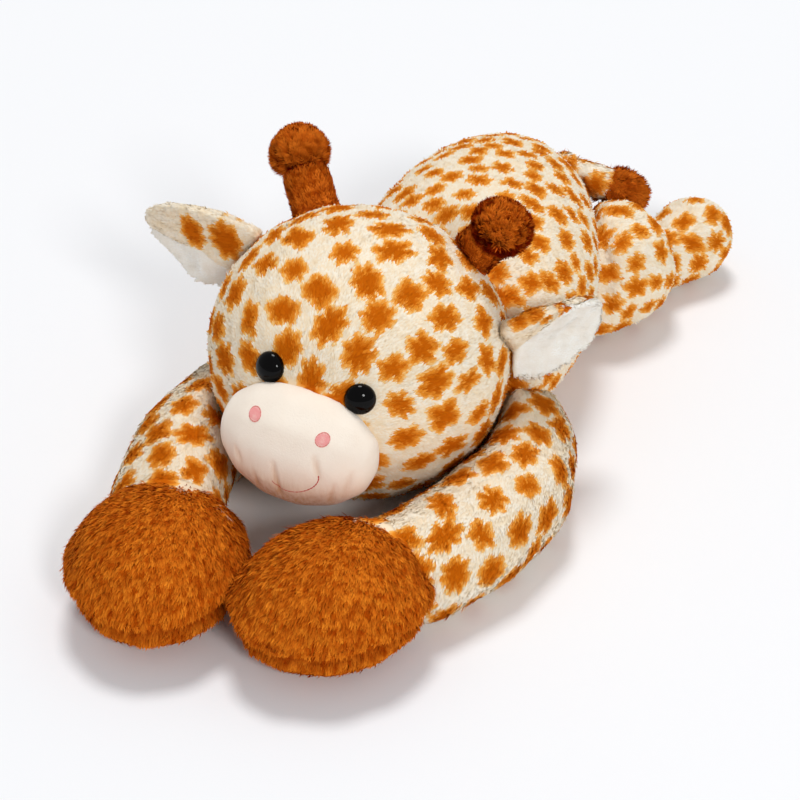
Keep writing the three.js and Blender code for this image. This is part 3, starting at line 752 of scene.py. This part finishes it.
forms["tuft"] = softened(hull_of("tuft_cover", "tail_tuft"), 2 * MM, 5 * MM, 6)
in_edit_mode(forms["tuft"], lambda: bpy.ops.transform.resize(value=TUFT_SWELL),
             lambda: bpy.ops.transform.translate(value=TUFT_SHIFT))
print("all forms:", len(forms))

# %% [markdown]
# The left horn of the toy has slid a little on the head, and leans the other way. The left ear hangs a
# little.

# %% Lean the left horn and ear
def lean(piece, root, tip, at_root, at_tip):
    """Moves a piece by one way at its root and by another at its tip, both in millimetres."""
    along = np.array(tip - root)
    share = np.clip((points_of(piece) - np.array(root)) @ along / (along @ along), 0, 1)[:, None]
    moved = np.array(at_root) * MM * (1 - share)
    set_points(piece, points_of(piece) + moved + np.array(at_tip) * MM * share)


horn_root = Vector(joints["left_horn_bend"]["pos_m"])
horn_tip = middle_of("left_horn_knob")
lean(forms["left_stem"], horn_root, horn_tip, (-7.5, 0, 5), (-3, 0, -4))
lean(forms["left_knob"], horn_root, horn_tip, (-3, 0, -4), (-3, 0, -4))
ear_root, ear_middle = Vector(joints["left_ear_flap"]["pos_m"]), middle_of("left_ear_back")
for name in ("left_ear_back", "left_ear_lining"):
    lean(forms[name], ear_root, ear_middle, (0, 0, 0), (-5, 0, -6))

# %% [markdown]
# ## Where the face lies
# The head's own frame puts the eyes, the muzzle and the nostrils. Its middle and its left-to-right axis are
# those of the neck joint. The filling of the muzzle pulls its velour into a few creases. Each is a start and
# an end, in millimetres across and above the muzzle's middle, and a depth.

# %% The head's frame
HEAD_TURN, HEAD_LIFT, HEAD_TILT = (math.radians(angle) for angle in (5, 12, 9))
HEAD_HALF = Vector((102, 99.5, 99.5)) * MM
MUZZLE_FORWARD, MUZZLE_DROP = 95 * MM, 27 * MM
EYE_SIDE, EYE_UP = math.radians(18.5), math.radians(8)
EYE_RADIUS, EYE_RISE, EYE_SUNK = 10 * MM, 6.6 * MM, 3 * MM
head_middle = Vector(joints["head_nod"]["pos_m"])
head_turn = (Matrix.Rotation(HEAD_TURN, 3, "Z") @ Matrix.Rotation(-HEAD_LIFT, 3, "X")
             @ Matrix.Rotation(HEAD_TILT, 3, "Y"))


def in_head(x, y, z):
    return head_middle + head_turn @ Vector((x, y, z))


def on_head(side_angle, rise):
    """The point of the head's ball in a direction from its middle, and the way out there."""
    way = Vector((math.sin(side_angle), -math.cos(side_angle), math.tan(rise))).normalized()
    scaled = Vector(w / h for w, h in zip(way, HEAD_HALF))
    out = head_turn @ Vector(s / h for s, h in zip(scaled, HEAD_HALF))
    return in_head(*(way / scaled.length)), out.normalized()


muzzle_middle = in_head(0, -MUZZLE_FORWARD, -MUZZLE_DROP)
eye_places = {side: on_head(sign * EYE_SIDE, EYE_UP) for side, sign in SIDES.items()}
forward = head_turn @ Vector((0, -1, 0))
MUZZLE_HALF_HEIGHT = 40.5 * MM
CREASES = (((-5.5, -4), (1.5, -27), 1.6), ((19, 8), (24.5, -6), 1.5), ((-33, -6), (-28, -14), 1.2),
           ((-17, -17), (-14, -30), 1.0), ((34, -8), (32, -24), 1.0), ((42, 2), (40, -14), 0.8))
CREASE_WIDTH = 1.8 * MM
LOW_SHADE_STRENGTH, LOW_SHADE_POWER, CREASE_SHADE = 1.5, 1.6, 0.25


def crease_muzzle(muzzle):
    """Draws the velour in along the creases, and marks painted shade that grows towards the bottom and in
    the creases.
    """
    points, normals = points_of(muzzle), normals_of(muzzle)
    local = (points - np.array(muzzle_middle)) @ np.array(head_turn)
    depth = np.zeros(len(points))
    for start, end, deep in CREASES:
        start, end = np.array(start) * MM, np.array(end) * MM
        along = end - start
        share = np.clip((local[:, [0, 2]] - start) @ along / (along @ along), 0, 1)
        away = np.linalg.norm(local[:, [0, 2]] - start - share[:, None] * along, axis=1)
        # A crease is shallow at its ends.
        fade = np.sin(np.pi * (0.15 + 0.7 * share))
        depth = np.maximum(depth, deep * MM * fade * np.exp(-(away / CREASE_WIDTH) ** 2))
    depth *= local[:, 1] < 0
    set_points(muzzle, points - normals * depth[:, None])
    # Painted shade: the velour turns browner and darker towards the bottom of the muzzle and in its creases.
    low = LOW_SHADE_STRENGTH * np.clip(-local[:, 2] / MUZZLE_HALF_HEIGHT, 0, 1) ** LOW_SHADE_POWER
    add_values(muzzle, "low", np.clip(low + CREASE_SHADE * depth / MM, 0, 1))


crease_muzzle(forms["muzzle"])
print("muzzle at", tuple(round(value, 4) for value in muzzle_middle))

# %% [markdown]
# ## Which way the pile lies
# On a plush animal the nap runs from the nose over the head to the back, and down every slope.

# %% Comb directions
def towards(way, down=0.0):
    direction = np.array(way, dtype=float) + np.array([0, 0, -down])
    return lambda roots, normals: np.broadcast_to(direction, roots.shape)


def away_from(point, down=0.0):
    def comb(roots, normals):
        return unit(roots - np.array(point)) + np.array([0, 0, -down])

    return comb


trees = {name: Tree(piece) for name, piece in forms.items()}
TURN_GAP, HOOF_GAP = 1.5 * MM, 4 * MM
spotted_dims = {"length": 3.9 * MM, "width": 1.3 * MM}
brown_dims = {"length": 6.5 * MM, "width": 1.1 * MM}

# %% Grow the pile of the torso, head and legs
def cover(name, body, slot, finish, comb, seed, count, nodes=(), neighbours=(), gap=TURN_GAP, printed=None,
          padded=None, **shape):
    """Prints a form, grows its pile, and sets both on their body.

    nodes are the rigid pieces that the form replaces, and neighbours are the forms that it lies against.
    padded, how full a soft piece is, is not used. What is left in shape goes to grow_pile.
    """
    base = forms[name]
    spots = Print(base, seed, comb, **printed) if printed else None
    dress(base, spots)
    pile = grow_pile(name + "_pile", base, comb, seed, count, spots=spots,
                     hidden=[(trees[other], HOOF_GAP if other.endswith("hoof") else gap)
                             for other in neighbours], **shape)
    for piece in (base, pile):
        finish.put_on(piece)
        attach(piece, body)
    if nodes:
        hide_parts(*nodes)


cover("torso", "torso", "spotted_plush", spotted_pile, towards((0, 1, 0), 0.7), 11, 95000,
      nodes=("torso_skin", "torso_stuffing"), neighbours=("head", "left_hind_leg", "right_hind_leg",
      "left_front_leg", "right_front_leg"), printed=SMALL_PRINT, padded=0.9, **spotted_dims)
cover("head", "head", "spotted_plush", spotted_pile, away_from(muzzle_middle, 0.25), 12, 95000,
      nodes=("head_skin", "head_stuffing"), neighbours=("muzzle",), printed=LARGE_PRINT, padded=0.9,
      clear=[(point, 0.65 * EYE_RADIUS) for point, _ in eye_places.values()], **spotted_dims)
for side, sign in SIDES.items():
    leg, hoof, hind = side + "_front_leg", side + "_hoof", side + "_hind_leg"
    cover(leg, leg, "spotted_plush", spotted_pile, towards((0, -1, 0), 0.8), 20 + sign, 60000,
          nodes=(side + "_front_sleeve", side + "_front_stuffing"),
          neighbours=("torso", "head", hoof), printed=LARGE_PRINT, padded=0.8, **spotted_dims)
    low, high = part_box(side + "_front_hoof_top")
    crown = Vector(((low.x + high.x) / 2, high.y, high.z))
    cover(hoof, leg, "brown_plush", brown_pile, away_from(crown, 0.3), 30 + sign, 70000,
          nodes=(side + "_front_hoof_top", side + "_front_hoof_sole"), neighbours=("head", "muzzle"),
          padded=0.8, stand=(19, 3), clump=0.35, clump_size=5 * MM, relief=0.3, trim=short_at_seam,
          **brown_dims)
    cover(hind, hind, "spotted_plush", spotted_pile, towards((sign * 0.3, 1, 0), 0.8), 40 + sign, 50000,
          nodes=(side + "_hind_skin", side + "_hind_stuffing"), neighbours=("torso",),
          printed=SMALL_PRINT, padded=0.8, **spotted_dims)

# %% [markdown]
# ## Ears, horns and tail
# The linings have a short pale pile that lies flat. On the knobs and the tuft the locks are long, stand up
# and draw together into tufts.

# %% Grow the pile of the ears, horns and tail
for side, sign in SIDES.items():
    ear, horn = side + "_ear", side + "_horn"
    tip = Vector((sign, 0.4, 0)) if sign > 0 else Vector((sign, 0.1, 0))
    cover(side + "_ear_back", ear, "spotted_plush", spotted_pile, towards(tip), 50 + sign, 18000,
          nodes=(side + "_ear_back",), neighbours=(side + "_ear_lining", "head"), gap=0.3 * MM,
          printed={**SMALL_PRINT, "front": ear_fronts[side], "chosen": ear_spots[side]},
          length=3.6 * MM, width=1.1 * MM, stand=(22, 0))
    cover(side + "_ear_lining", ear, "lining", lining_pile, towards(tip, 0.4), 55 + sign, 12000,
          nodes=(side + "_ear_lining",), neighbours=(side + "_ear_back", "head"), gap=0.2 * MM,
          length=2.6 * MM, width=0.9 * MM, stand=(18, 0), relief=0.05)
    stem_base = Vector(joints[horn + "_bend"]["pos_m"])
    cover(side + "_stem", horn, "brown_plush", horn_pile, away_from(stem_base), 60 + sign, 8000,
          nodes=(side + "_horn_stem",), neighbours=("head", side + "_knob"),
          length=4 * MM, width=1.1 * MM, stand=(35, 15), clump=0.4, clump_size=5 * MM)
    cover(side + "_knob", horn, "brown_plush", horn_pile, away_from(stem_base), 70 + sign, 14000,
          nodes=(side + "_horn_knob",), length=5.5 * MM, width=1.2 * MM, stand=(65, 50), clump=0.7,
          clump_size=5 * MM, relief=0.4)
tail_root = Vector(joints["tail_lift"]["pos_m"])
cover("tail", "tail", "spotted_plush", spotted_pile, away_from(tail_root), 81, 10000, nodes=("tail_strip",),
      neighbours=("torso", "left_hind_leg"), printed=SMALL_PRINT, length=5 * MM, width=1.1 * MM)
cover("tuft", "tail", "brown_plush", horn_pile, away_from(tail_root), 82, 14000, nodes=("tail_tuft",),
      neighbours=("torso", "left_hind_leg"), length=9 * MM, width=1.4 * MM, stand=(70, 50), clump=0.7,
      clump_size=5 * MM, relief=0.4)

# %% [markdown]
# ## Velour
# The muzzle is short-haired, so it has no strands, only a fine grain. The attribute "low" paints shade on
# its lower part and in its creases, which turn browner and darker in fine upright streaks.

# %% Muzzle
def velour_finish(name, light, shade, scale, low):
    finish = Finish(name, 0.9, specular_ior_level=0.1, sheen_weight=0.25, sheen_roughness=0.5)
    base = finish.mix(finish.noise(scale, 4.0, 0.65), shade, light)
    place = finish.node("ShaderNodeTexCoord", {}, {}, output=3)
    drawn = finish.node("ShaderNodeMapping", {}, {"Vector": place, "Scale": (1, 1, 0.15)})
    streaks = finish.noise(400, 3.0, 0.6, drawn)
    # The painted shade of the attribute "low" turns the colour towards the low colour, in fine upright
    # streaks.
    finish.set(base_color=finish.mix(finish.attribute("low") * (streaks * 1.2 + 0.3), base, low))
    finish.bump(finish.noise(scale * 14, 2.0, 0.7), 0.6 * MM, 0.5)
    return finish


# The low colour is the painted shade of the muzzle's lower part and creases.
muzzle_velour = velour_finish("muzzle_velour", srgb(254, 243, 228), srgb(248, 232, 214), 60,
                              low=srgb(200, 138, 76))
muzzle_velour.put_on(forms["muzzle"])
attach(forms["muzzle"], "head")
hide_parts("muzzle_skin")

# %% [markdown]
# ## Eyes
# A safety eye is a moulded black dome with a polished face. It is a ball that is pressed flatter and cut off
# behind its middle, and it sits a little sunk in the pile.

# %% Eyes
EYE_CUT = 2 * MM
eye_finish = Finish("eye", 0.05, specular_ior_level=0.13)
eye_finish.set(base_color=eye_finish.mix(eye_finish.noise(300), srgb(5, 4, 4), srgb(3, 2, 2)))
for side, sign in SIDES.items():
    point, out = eye_places[side]
    bpy.ops.mesh.primitive_uv_sphere_add(segments=48, ring_count=24, radius=EYE_RADIUS)
    eye = bpy.context.active_object
    eye.name = side + "_eye_dome"
    in_edit_mode(eye, lambda: bpy.ops.transform.resize(value=(1, 1, EYE_RISE / EYE_RADIUS)),
                 lambda: bpy.ops.mesh.bisect(plane_co=(0, 0, -EYE_CUT), plane_no=(0, 0, 1), clear_inner=True,
                                             use_fill=True))
    turn = out.to_track_quat("Z", "Y").to_matrix().to_4x4()
    eye.data.transform(Matrix.Translation(point - out * EYE_SUNK) @ turn)
    bpy.ops.object.shade_smooth()
    eye_finish.put_on(eye)
    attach(eye, "head")
    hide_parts(side + "_eye")

# %% [markdown]
# ## Nostrils and mouth
# Both are embroidered. A stitch is a small stretched ball, and it is copied along the line.

# %% Embroidery
IN_FRONT = 80 * MM
STITCH_HALF = 0.56


def on_muzzle(x, z):
    """The point of the stuffed muzzle straight in front of a place, and the way out there."""
    start = in_head(x, -MUZZLE_FORWARD - IN_FRONT, z - MUZZLE_DROP)
    point, normal, _, _ = trees["muzzle"].faces.ray_cast(start, -forward)
    return point, normal


def stitch(start, end, out, radius):
    """One stitch of thread from start to end, which bulges a little outwards."""
    along = end - start
    bpy.ops.mesh.primitive_uv_sphere_add(segments=8, ring_count=6, radius=1)
    piece = bpy.context.active_object
    side = along.cross(out).normalized()
    frame_turn = Matrix((along.normalized(), side, along.normalized().cross(side))).transposed().to_4x4()
    size = Matrix.Diagonal((along.length * STITCH_HALF, radius, radius, 1))
    piece.data.transform(Matrix.Translation((start + end) / 2) @ frame_turn @ size)
    return piece


def embroidered(name, pieces, finish, node):
    whole = joined(name, *pieces)
    only(whole)
    bpy.ops.object.shade_smooth()
    finish.put_on(whole)
    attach(whole, "head")
    if node:
        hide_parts(node)


def thread_finish(name, light, dark):
    finish = Finish(name, 0.7, specular_ior_level=0.2)
    finish.set(base_color=finish.mix(finish.noise(900, 2.0), dark, light))
    return finish


mouth_thread = thread_finish("mouth_thread", srgb(206, 92, 84), srgb(178, 62, 58))
nostril_thread = thread_finish("nostril_thread", srgb(246, 176, 172), srgb(236, 150, 148))
rim_thread = thread_finish("nostril_rim_thread", srgb(228, 142, 134), srgb(206, 116, 108))

# %% Mouth
MOUTH_ASIDE, MOUTH_DROP, MOUTH_HALF, MOUTH_SAG = 9.5 * MM, 10.5 * MM, 15.5 * MM, 9.5 * MM
MOUTH_TILT = math.radians(26)
STITCHES = 18
line = []
for number in range(STITCHES + 1):
    angle = math.pi * (1 + number / STITCHES)
    x, z = MOUTH_HALF * math.cos(angle), MOUTH_SAG * math.sin(angle)
    line.append(on_muzzle(MOUTH_ASIDE + x * math.cos(MOUTH_TILT) - z * math.sin(MOUTH_TILT),
                          -MOUTH_DROP + x * math.sin(MOUTH_TILT) + z * math.cos(MOUTH_TILT)))
stitches = [stitch(a[0], b[0], a[1], (0.2 + 0.3 * number / STITCHES) * MM)
            for number, (a, b) in enumerate(zip(line, line[1:]))]
embroidered("mouth", stitches, mouth_thread, "mouth_stitching")

# %% Nostrils
NOSTRIL_RADIUS, NOSTRIL_SPREAD, NOSTRIL_RISE, NOSTRIL_ASIDE = 4.1 * MM, 23 * MM, 19.5 * MM, 2.7 * MM
HALF_ROWS, RIM_STITCHES = 5, 14
for side, sign in SIDES.items():
    across = sign * NOSTRIL_SPREAD - NOSTRIL_ASIDE
    rows, ring = [], []
    for number in range(-HALF_ROWS, HALF_ROWS + 1):
        height = number / (HALF_ROWS + 0.5) * NOSTRIL_RADIUS
        half = math.sqrt(NOSTRIL_RADIUS ** 2 - height ** 2)
        ends = [on_muzzle(across + height, NOSTRIL_RISE + end) for end in (-half, half)]
        rows.append(stitch(ends[0][0], ends[1][0], ends[0][1], 0.55 * MM))
    for number in range(RIM_STITCHES):
        angles = [step * math.pi / (RIM_STITCHES / 2) for step in (number, number + 1)]
        ends = [on_muzzle(across + NOSTRIL_RADIUS * math.cos(angle),
                          NOSTRIL_RISE + NOSTRIL_RADIUS * math.sin(angle)) for angle in angles]
        ring.append(stitch(ends[0][0], ends[1][0], ends[0][1], 0.4 * MM))
    embroidered(side + "_nostril_thread", rows, nostril_thread, side + "_nostril")
    embroidered(side + "_nostril_rim", ring, rim_thread, None)

# %% [markdown]
# ## Hidden pieces
# The washers lie inside the head, so they keep their rigid shape and only get a finish.

# %% Washers
washer_finish = Finish("washer", 0.5)
washer_colour = washer_finish.mix(washer_finish.noise(200), srgb(222, 222, 216), srgb(206, 206, 200))
washer_finish.set(base_color=washer_colour)
for side in SIDES:
    washer_finish.put_on(frame["nodes"][side + "_eye_washer"])

# %% [markdown]
# ## The studio
# The toy lies on a white floor. A large lamp high above its back gives the soft shadow in front, and a
# weaker one fills it. The camera sees a white world, and the world that lights the toy is dimmer.

# %% Floor, lamps and world
WORLD_LIGHT = 0.44
bpy.ops.mesh.primitive_plane_add(size=12)
floor = bpy.context.active_object
floor.name = "floor"
floor_finish = Finish("floor", 0.9, specular_ior_level=0.0)
floor_finish.set(base_color=srgb(249, 249, 250))
floor_finish.put_on(floor)
floor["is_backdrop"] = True


def lamp(name, place, target, size, power):
    data = bpy.data.lights.new(name, "AREA")
    data.shape = "DISK"
    data.size = size
    data.energy = power
    piece = bpy.data.objects.new(name, data)
    bpy.context.collection.objects.link(piece)
    piece.location = place
    piece.rotation_euler = (Vector(target) - Vector(place)).to_track_quat("-Z", "Y").to_euler()
    return piece


lamp("key", (-1, 1.8, 6.1), (0, -0.1, 0), 2.1, 186)
lamp("front", (3.4, -3.6, 3.2), (0, -0.2, 0.05), 1.2, 116)
world = bpy.data.worlds.new("studio")
world.use_nodes = True
bpy.context.scene.world = world
nodes, links = world.node_tree.nodes, world.node_tree.links
background = nodes["Background"]
background.inputs["Color"].default_value = srgb(248, 251, 255)
background.inputs["Strength"].default_value = WORLD_LIGHT
seen = nodes.new("ShaderNodeBackground")
seen.inputs["Color"].default_value = srgb(250, 250, 251)
path = nodes.new("ShaderNodeLightPath")
either = nodes.new("ShaderNodeMixShader")
links.new(path.outputs["Is Camera Ray"], either.inputs[0])
links.new(background.outputs[0], either.inputs[1])
links.new(seen.outputs[0], either.inputs[2])
links.new(either.outputs[0], nodes["World Output"].inputs["Surface"])
bpy.context.scene.view_settings.view_transform = "Standard"

# %% [markdown]
# ## The camera
# It looks at the toy from the front, a little from its left, and from 35 degrees above.

# %% Camera
CAMERA_TURN, CAMERA_HEIGHT, CAMERA_AWAY = math.radians(24), math.radians(35), 1.5
CAMERA_TARGET = Vector((8, -153.5, 60)) * MM
back = Vector((math.sin(CAMERA_TURN) * math.cos(CAMERA_HEIGHT),
               -math.cos(CAMERA_TURN) * math.cos(CAMERA_HEIGHT), math.sin(CAMERA_HEIGHT)))
camera_data = bpy.data.cameras.new("camera")
camera_data.sensor_width = 36
camera_data.lens = 101.25
camera = bpy.data.objects.new("camera", camera_data)
bpy.context.collection.objects.link(camera)
camera.location = CAMERA_TARGET + back * CAMERA_AWAY
camera.rotation_euler = (-back).to_track_quat("-Z", "Y").to_euler()
bpy.context.scene.camera = camera

# %% Write the sizes and finish
total = sum(len(piece.data.polygons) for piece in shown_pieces() if piece.type == "MESH")
print("faces in all:", total)
